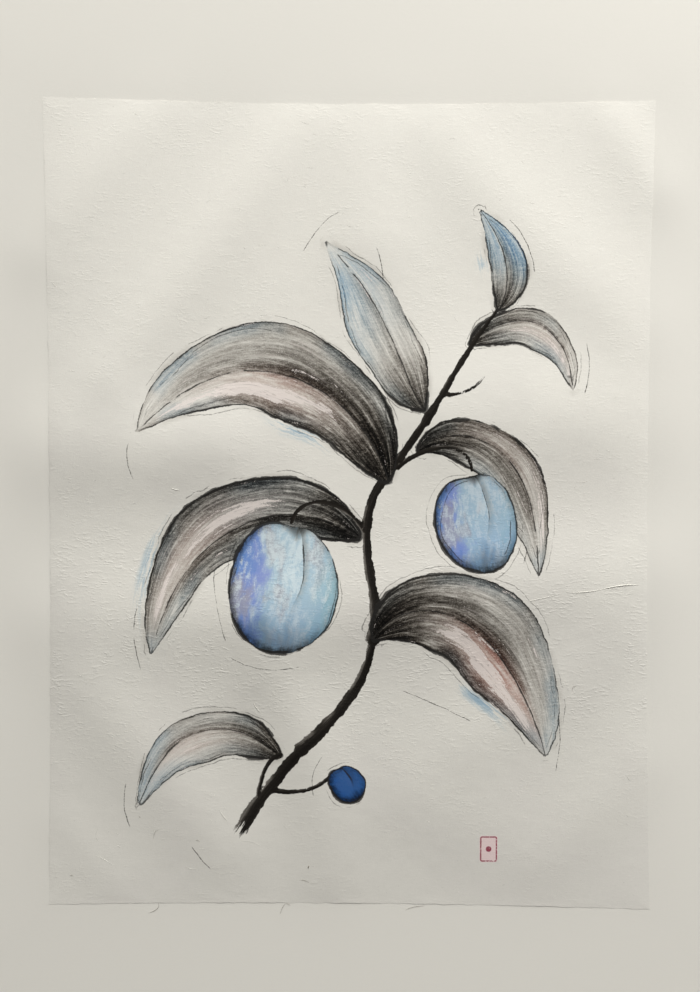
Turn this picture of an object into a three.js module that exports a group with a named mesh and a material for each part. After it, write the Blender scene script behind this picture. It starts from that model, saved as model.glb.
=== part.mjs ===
// A brush painting on a sheet of handmade paper, pasted on a larger sheet of smooth backing paper.
// Both papers cockled together as the wet painting dried, so they share one relief.
// Millimetres, +Z up, +Y towards the top of the picture, +X to its right.
// The origin is the middle of the backing's footprint, on the surface that it lies on.

import * as THREE from 'three';

// ---- Driving dimensions -------------------------------------------------------------------------

const SHEET = { width: 300, height: 400, thickness: 0.6 };
const BACKING = { width: 400, height: 500, thickness: 1.0 };
const PASTE_FILM = 0.1; // the paste between the two papers, left as a gap
const SHEET_DROP = 4; // the sheet is pasted this far below the backing's middle

// Each edge of the sheet is drawn in towards its middle, as shrinking paper is between its corners.
const DRAWN_IN = { left: 2.2, right: 3.0, top: 2.7, bottom: 2.0 };
const SLANT = 2.2; // the sheet isn't cut quite square: its right edge sits this much lower than its left

// The relief: a low dome, the folds on it, and how both die away at the sheet's edges.
const DOME = { height: 3.1, crestY: -54, roundness: 0.14, spread: 210 };
const SIDE_HOLD = { share: 0.5, reach: 16 }; // share of the relief left at a side edge
const END_HOLD = { share: 0.12, reach: 26 }; // and at the top and bottom edges
const MARGIN_REACH = 40; // outside the sheet the relief dies away over this distance, and the rest is flat
const FOLD_END = 1.2; // a fold's ends are rounded by this many half widths

// Folds run from one point to another, measured from the sheet's middle, with a bow to the left of the way.
const FOLDS = [
  { place: 'top left corner', from: [-99, 202], to: [-154, 127], bow: 0, halfWidth: 18, height: 1.6 },
  { place: 'upper left', from: [-27, 193], to: [-117, 65], bow: 3, halfWidth: 18, height: 1.6 },
  { place: 'top middle', from: [10, 200], to: [10, 138], bow: 0, halfWidth: 22, height: 1.4 },
  { place: 'upper right', from: [44, 194], to: [149, 89], bow: -9, halfWidth: 23, height: 1.4 },
  { place: 'top right corner', from: [128, 200], to: [152, 160], bow: 0, halfWidth: 15, height: 1.5 },
  { place: 'left shoulder', from: [-150, 28], to: [-70, 31], bow: 0, halfWidth: 26, height: 2.7 },
  { place: 'right shoulder', from: [50, 48], to: [150, 44], bow: 0, halfWidth: 31, height: 2.0 },
  { place: 'left waist', from: [-150, -56], to: [-50, -55], bow: 0, halfWidth: 24, height: 1.5 },
  { place: 'right waist', from: [-20, -53], to: [150, -31], bow: 0, halfWidth: 26, height: 2.0 },
  { place: 'lower left', from: [-131, -93], to: [-65, -173], bow: 0, halfWidth: 21, height: 1.2 },
  { place: 'lower middle', from: [-38, -87], to: [-10, -187], bow: 8, halfWidth: 19, height: 1.3 },
  { place: 'bottom middle', from: [34, -147], to: [58, -157], bow: 0, halfWidth: 28, height: 0.9 },
  { place: 'lower right', from: [135, -63], to: [65, -117], bow: 0, halfWidth: 20, height: 0.9 },
  { place: 'bottom right corner', from: [146, -130], to: [99, -179], bow: 0, halfWidth: 18, height: 0.8 },
  { place: 'bottom left corner', from: [-142, -162], to: [-120, -191], bow: 0, halfWidth: 11, height: 0.5 },
];

const CELL = 10; // spacing of the lines that split the papers into facets

// ---- The relief ---------------------------------------------------------------------------------

// One fold: a rounded crest along its line, with a bell-shaped section and rounded ends.
function foldHeight(fold, x, y) {
  const line = new THREE.Vector2(fold.to[0] - fold.from[0], fold.to[1] - fold.from[1]);
  const length = line.length();
  line.normalize();
  const along = (x - fold.from[0]) * line.x + (y - fold.from[1]) * line.y;
  const way = THREE.MathUtils.clamp(along / length, 0, 1);
  const across = (y - fold.from[1]) * line.x - (x - fold.from[0]) * line.y - fold.bow * 4 * way * (1 - way);
  const past = Math.max(0, -along, along - length);
  const section = (across / fold.halfWidth) ** 2;
  const ends = (past / (FOLD_END * fold.halfWidth)) ** 2;
  return fold.height * Math.exp(-section - ends);
}

// The dome rises almost evenly from the top and bottom edges to a rounded crest.
function domeHeight(x, y) {
  const run = y > DOME.crestY ? SHEET.height / 2 - DOME.crestY : SHEET.height / 2 + DOME.crestY;
  const slope = Math.hypot((y - DOME.crestY) / run, DOME.roundness);
  return DOME.height * Math.max(0, 1 - slope) * Math.exp(-((x / DOME.spread) ** 2));
}

// The share of the relief that is left near an edge: inside is the distance in from it, negative outside.
function edgeShare(inside, hold) {
  if (inside >= 0) {
    return hold.share + (1 - hold.share) * (1 - Math.exp(-inside / hold.reach));
  }
  const fade = Math.max(0, 1 - (inside / MARGIN_REACH) ** 2);
  return hold.share * fade ** 2;
}

// Height of the backing's underside over the surface, at a point measured from the sheet's middle.
function relief(x, y) {
  const insideX = SHEET.width / 2 - Math.abs(x);
  const insideY = SHEET.height / 2 - Math.abs(y);
  const folds = FOLDS.reduce((sum, fold) => sum + foldHeight(fold, x, y), domeHeight(x, y));
  return edgeShare(insideX, SIDE_HOLD) * edgeShare(insideY, END_HOLD) * folds;
}

// Where a point of the papers lies once the edges are drawn in and slanted: the pull is greatest at an edge's
// middle, and dies away at the sheet's middle, at its corners and at the backing's rim.
function drawnIn(x, y) {
  const halfWidth = SHEET.width / 2;
  const halfHeight = SHEET.height / 2;
  const share = (place, half) => {
    const past = Math.abs(place) - half;
    return past <= 0 ? Math.abs(place) / half : Math.max(0, 1 - past / MARGIN_REACH);
  };
  const bow = (place, half) => Math.max(0, 1 - (place / half) ** 2);
  const pullX = (x < 0 ? DRAWN_IN.left : -DRAWN_IN.right) * share(x, halfWidth) * bow(y, halfHeight);
  const pullY = (y < 0 ? DRAWN_IN.bottom : -DRAWN_IN.top) * share(y, halfHeight) * bow(x, halfWidth);
  const level = THREE.MathUtils.clamp(1 - (Math.abs(y) - halfHeight) / MARGIN_REACH, 0, 1);
  const slant = (-SLANT / 2) * Math.sign(x) * share(x, halfWidth) * level;
  return { x: x + pullX, y: y + pullY + slant };
}

// ---- Papers -------------------------------------------------------------------------------------

// Lines from low to high, on the sheet's own cells and ending exactly at both limits.
function gridLines(low, high) {
  const lines = [low];
  for (let line = Math.ceil(low / CELL) * CELL; line <= high; line += CELL) {
    if (line - low > CELL / 4 && high - line > CELL / 4) {
      lines.push(line);
    }
  }
  lines.push(high);
  return lines;
}

// A waved plate over the grid of lines: both faces are split alike, and a wall closes its rim.
function paperPlate(xLines, yLines, underside, thickness) {
  const columns = xLines.length;
  const rows = yLines.length;
  const positions = [];
  for (const lift of [underside, underside + thickness]) {
    for (const y of yLines) {
      for (const x of xLines) {
        const place = drawnIn(x, y);
        positions.push(place.x, place.y - SHEET_DROP, relief(x, y) + lift);
      }
    }
  }
  const layer = columns * rows;
  const node = (column, row) => row * columns + column;
  const faces = [];
  for (let row = 0; row < rows - 1; row += 1) {
    for (let column = 0; column < columns - 1; column += 1) {
      const a = node(column, row);
      const b = node(column + 1, row);
      const c = node(column + 1, row + 1);
      const d = node(column, row + 1);
      faces.push(a + layer, b + layer, c + layer, a + layer, c + layer, d + layer);
      faces.push(a, c, b, a, d, c);
    }
  }
  const rim = [];
  for (let column = 0; column < columns - 1; column += 1) {
    rim.push([node(column, 0), node(column + 1, 0)]);
    rim.push([node(column + 1, rows - 1), node(column, rows - 1)]);
  }
  for (let row = 0; row < rows - 1; row += 1) {
    rim.push([node(columns - 1, row), node(columns - 1, row + 1)]);
    rim.push([node(0, row + 1), node(0, row)]);
  }
  for (const [p, q] of rim) {
    faces.push(p, q, q + layer, p, q + layer, p + layer);
  }
  const geometry = new THREE.BufferGeometry();
  geometry.setAttribute('position', new THREE.Float32BufferAttribute(positions, 3));
  geometry.setIndex(faces);
  geometry.computeVertexNormals();
  return geometry;
}

function namedMesh(name, geometry, colour, roughness) {
  const material = new THREE.MeshStandardMaterial({ color: colour, roughness, metalness: 0 });
  const mesh = new THREE.Mesh(geometry, material);
  mesh.name = name;
  return mesh;
}

// The smooth backing paper, which lies on its flat outer rim.
function backingSheet() {
  const xLines = gridLines(-BACKING.width / 2, BACKING.width / 2);
  const yLines = gridLines(-BACKING.height / 2 + SHEET_DROP, BACKING.height / 2 + SHEET_DROP);
  return namedMesh('backing_sheet', paperPlate(xLines, yLines, 0, BACKING.thickness), 0xe2dfd4, 0.75);
}

// The handmade paper that carries the painting.
function paintedSheet() {
  const xLines = gridLines(-SHEET.width / 2, SHEET.width / 2);
  const yLines = gridLines(-SHEET.height / 2, SHEET.height / 2);
  const underside = BACKING.thickness + PASTE_FILM;
  return namedMesh('painted_sheet', paperPlate(xLines, yLines, underside, SHEET.thickness), 0xdedbd0, 0.95);
}

const mountedPainting = new THREE.Group();
mountedPainting.add(backingSheet());
mountedPainting.add(paintedSheet());

export default mountedPainting;
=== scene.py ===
# %% [markdown]
# # A brush painting on handmade paper
#
# The object is two papers: a rough handmade sheet that carries a painting in ink and watercolour, pasted on
# a larger, smooth backing sheet. Wet paint and wet paste made both cockle together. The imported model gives
# the two papers as faceted plates. This notebook rebuilds them as fine surfaces, gives them their tooth and
# their loose fibres, and paints a plum branch on the top one.

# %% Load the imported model
import math

import bpy
import numpy as np
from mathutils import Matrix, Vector


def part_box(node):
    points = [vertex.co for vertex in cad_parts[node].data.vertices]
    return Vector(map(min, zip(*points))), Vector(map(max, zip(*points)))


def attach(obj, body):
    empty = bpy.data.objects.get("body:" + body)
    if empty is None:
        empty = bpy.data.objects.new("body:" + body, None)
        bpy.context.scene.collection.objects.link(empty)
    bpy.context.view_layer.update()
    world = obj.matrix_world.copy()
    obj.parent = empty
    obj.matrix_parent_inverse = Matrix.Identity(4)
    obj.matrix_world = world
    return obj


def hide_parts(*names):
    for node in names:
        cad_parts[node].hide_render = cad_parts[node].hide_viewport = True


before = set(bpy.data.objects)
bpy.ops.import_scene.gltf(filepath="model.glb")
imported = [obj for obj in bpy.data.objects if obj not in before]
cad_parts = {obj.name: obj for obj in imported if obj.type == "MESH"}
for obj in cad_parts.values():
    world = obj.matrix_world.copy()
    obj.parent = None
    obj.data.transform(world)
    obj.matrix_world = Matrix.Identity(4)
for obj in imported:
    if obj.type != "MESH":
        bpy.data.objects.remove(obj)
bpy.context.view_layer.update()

MM = 0.001

# %% [markdown]
# ## Dimensions
#
# Lengths are in millimetres until a mesh is made, and x and y are measured from the sheet's middle. The
# backing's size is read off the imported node. The sheet's own size can't be, because its edges are drawn in
# and slanted, so it is named here as in the model, with the same dome, folds and margin. Only the
# thicknesses differ. The photograph shows hardly any step at the sheet's edges, so the handmade paper is a
# quarter of a millimetre thick here, and the backing has the rest: the top face lies where the model's does.

# %% Sizes of the two papers
low_corner, high_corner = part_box("backing_sheet")
BACKING_WIDTH, BACKING_HEIGHT = ((high_corner[axis] - low_corner[axis]) / MM for axis in (0, 1))
BACKING_THICKNESS = 1.43
SHEET_WIDTH, SHEET_HEIGHT = 300.0, 400.0
SHEET_THICKNESS = 0.25
PASTE_FILM = 0.02
SHEET_DROP = 4.0
DRAWN_IN = {"left": 2.2, "right": 3.0, "top": 2.7, "bottom": 2.0}
SLANT = 2.2

DOME = {"height": 3.1, "crest_y": -54, "roundness": 0.14, "spread": 210}
SIDE_HOLD = {"share": 0.5, "reach": 16}
END_HOLD = {"share": 0.12, "reach": 26}
MARGIN_REACH = 40
FOLD_END = 1.2

# place: start, end, bow to the left of the way, half width, height
FOLDS = {
    "top left corner": ((-99, 202), (-154, 127), 0, 18, 1.6),
    "upper left": ((-27, 193), (-117, 65), 3, 18, 1.6),
    "top middle": ((10, 200), (10, 138), 0, 22, 1.4),
    "upper right": ((44, 194), (149, 89), -9, 23, 1.4),
    "top right corner": ((128, 200), (152, 160), 0, 15, 1.5),
    "left shoulder": ((-150, 28), (-70, 31), 0, 26, 2.7),
    "right shoulder": ((50, 48), (150, 44), 0, 31, 2.0),
    "left waist": ((-150, -56), (-50, -55), 0, 24, 1.5),
    "right waist": ((-20, -53), (150, -31), 0, 26, 2.0),
    "lower left": ((-131, -93), (-65, -173), 0, 21, 1.2),
    "lower middle": ((-38, -87), (-10, -187), 8, 19, 1.3),
    "bottom middle": ((34, -147), (58, -157), 0, 28, 0.9),
    "lower right": ((135, -63), (65, -117), 0, 20, 0.9),
    "bottom right corner": ((146, -130), (99, -179), 0, 18, 0.8),
    "bottom left corner": ((-142, -162), (-120, -191), 0, 11, 0.5),
}
HALF_WIDTH, HALF_HEIGHT = SHEET_WIDTH / 2, SHEET_HEIGHT / 2
print(len(FOLDS), "folds on a sheet of", SHEET_WIDTH, "by", SHEET_HEIGHT, "mm")

# %% [markdown]
# ## The relief
#
# A cockle is a ridge that rises and falls like a bell curve across its line. Adding fifteen of them to a low
# dome gives the whole surface as one function of x and y, so any mesh, coarse or fine, can sample it. A
# cloth simulation could crumple the paper too, but it wouldn't put the folds where the photograph has them.

# %% The relief as a function of x and y


def fold_height(fold, x, y):
    """Bell curve of the distance from the fold's line, times one of the distance past its ends."""
    (x0, y0), (x1, y1), bow, half_width, height = fold
    length = math.hypot(x1 - x0, y1 - y0)
    ux, uy = (x1 - x0) / length, (y1 - y0) / length
    along = (x - x0) * ux + (y - y0) * uy
    way = np.clip(along / length, 0, 1)
    across = (y - y0) * ux - (x - x0) * uy - bow * 4 * way * (1 - way)
    past = np.maximum(0, np.maximum(-along, along - length))
    return height * np.exp(-((across / half_width) ** 2) - (past / (FOLD_END * half_width)) ** 2)


def dome_height(x, y):
    """An even rise from both ends to a rounded crest, falling off gently to the sides."""
    run = np.where(y > DOME["crest_y"], HALF_HEIGHT - DOME["crest_y"], HALF_HEIGHT + DOME["crest_y"])
    slope = np.hypot((y - DOME["crest_y"]) / run, DOME["roundness"])
    return DOME["height"] * np.maximum(0, 1 - slope) * np.exp(-((x / DOME["spread"]) ** 2))


def edge_share(inside, hold):
    """Share of the relief left near an edge: it grows inwards as 1 - exp(-d / reach), and fades outwards."""
    grown = 1 - np.exp(-np.maximum(inside, 0) / hold["reach"])
    fade = np.maximum(0, 1 - (np.minimum(inside, 0) / MARGIN_REACH) ** 2)
    return np.where(inside >= 0, hold["share"] + (1 - hold["share"]) * grown, hold["share"] * fade**2)


def relief(x, y):
    """Height of the backing's underside: dome plus folds, times the share that each pair of edges leaves."""
    folds = dome_height(x, y) + sum(fold_height(fold, x, y) for fold in FOLDS.values())
    side_share = edge_share(HALF_WIDTH - np.abs(x), SIDE_HOLD)
    end_share = edge_share(HALF_HEIGHT - np.abs(y), END_HOLD)
    return side_share * end_share * folds


def drawn_in(x, y):
    """Place of a point once the edges are drawn in: a parabola along each edge, fading away from it."""

    def share(place, half):
        past = np.abs(place) - half
        return np.where(past <= 0, np.abs(place) / half, np.maximum(0, 1 - past / MARGIN_REACH))

    def bow(place, half):
        return np.maximum(0, 1 - (place / half) ** 2)

    from_sides = np.where(x < 0, DRAWN_IN["left"], -DRAWN_IN["right"])
    from_ends = np.where(y < 0, DRAWN_IN["bottom"], -DRAWN_IN["top"])
    pull_x = from_sides * share(x, HALF_WIDTH) * bow(y, HALF_HEIGHT)
    pull_y = from_ends * share(y, HALF_HEIGHT) * bow(x, HALF_WIDTH)
    level = np.clip(1 - (np.abs(y) - HALF_HEIGHT) / MARGIN_REACH, 0, 1)
    slant = -SLANT / 2 * np.sign(x) * share(x, HALF_WIDTH) * level
    return x + pull_x, y + pull_y + slant


def ripples(x, y, wave, stretch, seed, count=70):
    """Soft waves, about -1 to 1: a sum of sines of random heading and length, longer by stretch in x."""
    dice = np.random.default_rng(seed)
    heading = dice.uniform(0, 2 * np.pi, count)
    pace = 2 * np.pi / (wave * dice.uniform(0.7, 1.6, count))
    start = dice.uniform(0, 2 * np.pi, count)
    total = np.zeros(np.shape(x))
    for turn, rate, offset in zip(heading, pace, start):
        total += np.sin(rate * (x / stretch * math.cos(turn) + y * math.sin(turn)) + offset)
    return total * math.sqrt(2 / count) / 2


probe_x, probe_y = (np.linspace(-half, half, 81) for half in (HALF_WIDTH, HALF_HEIGHT))
crest = relief(*np.meshgrid(probe_x, probe_y)).max()
print("the folds rise", round(float(crest), 2), "mm off the table")

# %% [markdown]
# ## Papers as grids
#
# A sheet of paper is a grid of points on the relief, one layer for each face, with a wall that closes the
# rim. The lines of the grid lie close together under the painting, whose colours ride on its points, and at
# the rim, which is ragged and thin. A Subdivision modifier would spend its points evenly instead.

# %% A plate from two lists of grid lines
RAGGED, RAGGED_REACH = 0.16, 2.5
TORN_WAVE, FRAY_WAVE, FRAY_SHARE = 9, 2.6, 0.6

# the map is a unit square: the top face has this share of its height, with the hidden face and the rim's
# strip beside it
TOP_SHARE, MAP_GAP = 0.95, 0.02
HIDDEN_SIZE = (0.12, 0.16)
RIM_STRIP = 0.96


def spaced(stops, gaps):
    """Lines from the first stop to the last: each stretch is cut into equal steps of about its gap."""
    stretches = zip(stops[:-1], stops[1:], gaps)
    parts = [np.linspace(a, b, max(1, round((b - a) / gap)), endpoint=False) for a, b, gap in stretches]
    return np.concatenate([*parts, stops[-1:]])


def bake_map(mesh, x, y, cells, walls):
    """UV map: the top face at its own proportions over most of the square, the rest small beside it."""
    across, up = (x - x.min()) / np.ptp(x), (y - y.min()) / np.ptp(y)
    grid = np.stack([across, up], -1).reshape(-1, 2)
    top_size = TOP_SHARE * np.array([np.ptp(x) / np.ptp(y), 1])
    corners = np.empty(len(mesh.loops), np.int32)
    mesh.loops.foreach_get("vertex_index", corners)
    hidden, shown = corners[:4 * cells], corners[4 * cells:8 * cells] - len(grid)
    step = np.arange(walls)[:, None] + [0, 1, 1, 0]
    strip = RIM_STRIP + MAP_GAP * np.array([0, 0, 1, 1]) + 0 * step
    places = np.concatenate([
        grid[hidden] * HIDDEN_SIZE + [top_size[0] + MAP_GAP, MAP_GAP],
        grid[shown] * top_size + MAP_GAP / 2,
        np.stack([strip, step / walls], -1).reshape(-1, 2)])
    mesh.uv_layers.new(name="OFBake").data.foreach_set("uv", places.astype(np.float32).ravel())


def torn(x, y, inside, seed):
    """Shift of the rim in mm: coarse waves plus finer ones, fading inwards as exp(-d / reach)."""
    waves = ripples(x, y, TORN_WAVE, 1, seed) + FRAY_SHARE * ripples(x, y, FRAY_WAVE, 1, seed + 1)
    return RAGGED * np.exp(-inside / RAGGED_REACH) * waves


def paper_mesh(name, x_lines, y_lines, low, high, ragged=False):
    """Grid of x by y points for each face; low and high give each face's height, and ragged tears the rim."""
    x, y = np.meshgrid(x_lines, y_lines)
    place_x, place_y = drawn_in(x, y)
    if ragged:
        place_x = place_x + torn(x, y, HALF_WIDTH - np.abs(x), 11)
        place_y = place_y + torn(x, y, HALF_HEIGHT - np.abs(y), 13)
    rows, columns = x.shape
    layers = [np.stack([place_x, place_y - SHEET_DROP, z], -1) for z in (low(x, y), high(x, y))]
    point = np.arange(rows * columns).reshape(rows, columns)
    cells = np.stack([point[:-1, :-1], point[:-1, 1:], point[1:, 1:], point[1:, :-1]], -1).reshape(-1, 4)
    rim = np.concatenate([point[0, :-1], point[:-1, -1], point[-1, :0:-1], point[:0:-1, 0]])
    after = np.roll(rim, -1)
    layer = rows * columns
    wall = np.stack([rim, after, after + layer, rim + layer], -1)
    faces = np.concatenate([cells[:, ::-1], cells + layer, wall])
    mesh = bpy.data.meshes.new(name)
    mesh.from_pydata((np.reshape(layers, (-1, 3)) * MM).tolist(), [], faces.tolist())
    mesh.shade_smooth()
    mesh.set_sharp_from_angle(angle=math.radians(45))
    bake_map(mesh, x, y, len(cells), len(wall))
    piece = bpy.data.objects.new(name, mesh)
    bpy.context.scene.collection.objects.link(piece)
    print(name, len(mesh.vertices), "points,", 2 * len(faces), "triangles")
    return piece, x.ravel(), y.ravel()


# %% The two papers
RIM_THICKNESS, RIM_REACH, RIM_UNEVEN = 0.08, 9.0, 0.7
LUMPS = 0.012
BACKING_GRID = 2.5

# where the gap between grid lines changes, and the gap in each stretch: finest at the torn rim
sheet_x = spaced([-150, -148, -144, -104, 104, 144, 148, 150], [0.7, 1.4, 2.7, 1.25, 2.7, 1.4, 0.7])
sheet_y = spaced([-200, -198, -194, -184, 148, 194, 198, 200], [0.7, 1.4, 2.6, 1.66, 2.7, 1.4, 0.7])


def backing_top(x, y):
    """The backing's upper face, one thickness above its underside."""
    return relief(x, y) + BACKING_THICKNESS


def sheet_underside(x, y):
    """The sheet lies on the backing, with the film of paste between them."""
    return backing_top(x, y) + PASTE_FILM


def sheet_top(x, y):
    """Underside plus thickness, less towards the uneven rim by exp(-d / reach), plus lumps of pulp."""
    inside = np.minimum(HALF_WIDTH - np.abs(x), HALF_HEIGHT - np.abs(y))
    rim = RIM_THICKNESS * (1 + RIM_UNEVEN * ripples(x, y, 30, 1, 23))
    thick = SHEET_THICKNESS - (SHEET_THICKNESS - rim) * np.exp(-inside / RIM_REACH)
    lumps = LUMPS * (ripples(x, y, 5.5, 1.9, 21) + ripples(x, y, 9, 1.5, 22))
    return sheet_underside(x, y) + thick - 2 * LUMPS + lumps


sheet, grid_x, grid_y = paper_mesh(
    "painted_sheet_fine", sheet_x, sheet_y, sheet_underside, sheet_top, ragged=True)

back_x = spaced([-BACKING_WIDTH / 2, BACKING_WIDTH / 2], [BACKING_GRID])
back_y = spaced([-BACKING_HEIGHT / 2 + SHEET_DROP, BACKING_HEIGHT / 2 + SHEET_DROP], [BACKING_GRID])
backing, _, _ = paper_mesh("backing_sheet_fine", back_x, back_y, relief, backing_top)

# %% [markdown]
# ## Writing formulas with nodes
#
# A painted finish is many small formulas. Each sum or product in a shader is a Math node, and dozens of them
# are hard to read one by one. A Wire wraps a socket so that Python's own signs add those nodes, and a few
# short functions add the others. Everything still ends up as plain nodes, which can be opened in Blender.

# %% A small tool for node trees


def plug(tree, socket, value):
    """Feeds a socket from a Wire, another socket or a plain value."""
    value = value.socket if isinstance(value, Wire) else value
    if isinstance(value, bpy.types.NodeSocket):
        tree.links.new(value, socket)
    else:
        socket.default_value = value


def node(tree, kind, inputs, output=0, **settings):
    """Adds a node with its settings and inputs, and gives back one of its outputs as a Wire."""
    made = tree.nodes.new(kind)
    for name, value in settings.items():
        setattr(made, name, value)
    for name, value in inputs.items():
        plug(tree, made.inputs[name], value)
    return Wire(tree, made.outputs[output])


def calc(tree, operation, *values):
    """One Math node."""
    return node(tree, "ShaderNodeMath", dict(enumerate(values)), operation=operation)


class Wire:
    """A value on its way through a node tree: + - * and abs() on it add Math nodes."""

    def __init__(self, tree, socket):
        self.tree, self.socket = tree, socket

    def __add__(self, other):
        return calc(self.tree, "ADD", self, other)

    def __sub__(self, other):
        return calc(self.tree, "SUBTRACT", self, other)

    def __rsub__(self, other):
        return calc(self.tree, "SUBTRACT", other, self)

    def __mul__(self, other):
        return calc(self.tree, "MULTIPLY", self, other)

    def __abs__(self):
        return calc(self.tree, "ABSOLUTE", self)

    __radd__, __rmul__ = __add__, __mul__


def largest(tree, value, *others):
    """The greatest of several values."""
    for other in others:
        value = calc(tree, "MAXIMUM", value, other)
    return value


def ramp_up(tree, value, low, high):
    """0 below low, 1 above high, with a smooth step between; it falls instead where low is above high."""
    inputs = {"Value": value, "From Min": low, "From Max": high}
    if low > high:
        inputs = {"Value": value, "From Min": high, "From Max": low, "To Min": 1.0, "To Max": 0.0}
    return node(tree, "ShaderNodeMapRange", inputs, interpolation_type="SMOOTHSTEP")


def mix(tree, share, first, second, blend="MIX"):
    """First colour where share is 0, second where it is 1."""
    mixer = tree.nodes.new("ShaderNodeMix")
    mixer.data_type, mixer.blend_type = "RGBA", blend
    for socket, value in zip((mixer.inputs[0], mixer.inputs[6], mixer.inputs[7]), (share, first, second)):
        plug(tree, socket, value)
    return Wire(tree, mixer.outputs[2])


def noise(tree, vector, scale, detail=2.0, rough=0.5):
    """Noise Texture at a vector, 0 to 1 round 0.5; its size is one over scale."""
    inputs = {"Vector": vector, "Scale": scale, "Detail": detail, "Roughness": rough}
    return node(tree, "ShaderNodeTexNoise", inputs)


def vector_of(tree, x, y, z=0.0):
    """A vector from three numbers."""
    return node(tree, "ShaderNodeCombineXYZ", {"X": x, "Y": y, "Z": z})


def parts_of(tree, vector):
    """The three numbers of a vector, as Wires."""
    split = node(tree, "ShaderNodeSeparateXYZ", {"Vector": vector}).socket.node
    return [Wire(tree, socket) for socket in split.outputs]


def position_mm(tree):
    """Object coordinates in millimetres."""
    place = tree.nodes.new("ShaderNodeTexCoord").outputs["Object"]
    return node(tree, "ShaderNodeVectorMath", {0: place, "Scale": 1 / MM}, operation="SCALE")


def new_group(name, inputs, outputs):
    """A node group with sockets named name: kind; hands back the tree, its inputs as Wires and its exit."""
    tree = bpy.data.node_groups.new(name, "ShaderNodeTree")
    for way, sockets in (("INPUT", inputs), ("OUTPUT", outputs)):
        for label, kind in sockets.items():
            tree.interface.new_socket(name=label, in_out=way, socket_type="NodeSocket" + kind)
    entry = tree.nodes.new("NodeGroupInput")
    leave = tree.nodes.new("NodeGroupOutput")
    return tree, {label: Wire(tree, entry.outputs[label]) for label in inputs}, leave


def use_group(tree, group, inputs):
    """Places a group in a tree, with its own values, and gives back its first output."""
    made = tree.nodes.new("ShaderNodeGroup")
    made.node_tree = group
    for name, value in inputs.items():
        plug(tree, made.inputs[name], value)
    return Wire(tree, made.outputs[0])


print("node helpers ready")

# %% [markdown]
# ## The papers' own surface
#
# Both papers are felted fibre. Under a low window their tooth shows as fine light and shade: short creases
# that lie mostly across the sheet, a grain below a millimetre, and single fibres. The handmade sheet has it
# strongly and the backing hardly at all, so it is one group with an amount for each. It can't be geometry: a
# grain of half a millimetre would need millions of points. The group gives a height in millimetres, which a
# Bump node turns into shading, and a fleck value for the colour.

# %% Group: felted paper


def felt_group():
    """Creases, grain and single fibres as a height in mm, with a fleck for the colour and the tooth."""
    tree, given, leave = new_group(
        "felted paper",
        {"Place": "Vector", "Creases": "Float", "Grain": "Float", "Fibres": "Float"},
        {"Height": "Float", "Fleck": "Float", "Tooth": "Float"})
    x, y, _ = parts_of(tree, given["Place"])
    warp = noise(tree, given["Place"], 0.16, 1.0)
    lying = vector_of(tree, x * 0.36 + warp * 1.5, y + warp * 2.0)
    patches = ramp_up(tree, noise(tree, given["Place"], 0.035, 2.0), 0.40, 0.62)
    tufts = ramp_up(tree, noise(tree, given["Place"], 0.16, 1.0), 0.42, 0.60)
    soft = noise(tree, lying, 0.85, 2.0, 0.6)
    creases = ramp_up(tree, soft, 0.46, 0.66) * (patches * 0.5 + 0.5) * (tufts * 0.7 + 0.3)
    grain = noise(tree, given["Place"], 1.6, 3.0, 0.65)
    thread = ramp_up(tree, abs(noise(tree, lying, 0.4, 2.0, 0.5) - 0.5), 0.03, 0.004)
    fibres = thread * tufts * patches
    height = creases * given["Creases"] + (grain - 0.5) * given["Grain"] + fibres * given["Fibres"]
    plug(tree, leave.inputs["Height"], height)
    specks = ramp_up(tree, noise(tree, given["Place"], 0.75, 1.0), 0.27, 0.21)
    plug(tree, leave.inputs["Fleck"], (soft - 0.5) * 0.6 + (grain - 0.5) * 0.8 - specks * 0.9)
    plug(tree, leave.inputs["Tooth"], grain * 0.6 + soft * 0.4)
    return tree


FELT = felt_group()
print("group:", FELT.name)

# %% [markdown]
# ## The painting as a map
#
# Paint has no thickness worth modelling, so the branch, its leaves and its plums are colour in the sheet's
# own material. What the brush needs to know is where it is: how far along a leaf, how far across, how far
# from its edge. These three are worked out with numpy for every point of the fine grid and stored as
# attributes, and the shader turns them into washes and lines. Distances are signed, so a line half a
# millimetre wide stays sharp between grid points more than a millimetre apart.

# %% Where a point lies beside a curve


def smooth(value, low, high):
    """0 below low, 1 above high, and 3t^2 - 2t^3 between; it falls instead where low is above high."""
    share = np.clip((value - low) / (high - low), 0, 1)
    return share * share * (3 - 2 * share)


def curve_through(points, share):
    """Curve from end to end, pulled by the points between: neighbours are mixed until one is left."""
    mixed = [np.array(point, float)[:, None] for point in points]
    while len(mixed) > 1:
        mixed = [(1 - share) * a + share * b for a, b in zip(mixed[:-1], mixed[1:])]
    return mixed[0]


def beside(x, y, points, samples=150):
    """Way along a curve, distance to its left, distance past its ends, and the curve's own length.

    The way and the distances are measured along and across the nearest sample's tangent.
    """
    curve_x, curve_y = curve_through(points, np.linspace(0, 1, samples))
    step_x, step_y = np.gradient(curve_x), np.gradient(curve_y)
    step = np.hypot(step_x, step_y)
    run = np.concatenate([[0], np.cumsum(np.hypot(np.diff(curve_x), np.diff(curve_y)))])
    near = np.argmin((x[:, None] - curve_x) ** 2 + (y[:, None] - curve_y) ** 2, axis=1)
    off_x, off_y = x - curve_x[near], y - curve_y[near]
    unit_x, unit_y = (step_x / step)[near], (step_y / step)[near]
    way = run[near] + off_x * unit_x + off_y * unit_y
    left = off_y * unit_x - off_x * unit_y
    past = np.maximum(0, np.maximum(-way, way - run[-1]))
    return np.clip(way, 0, run[-1]), left, past, run[-1]


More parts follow.
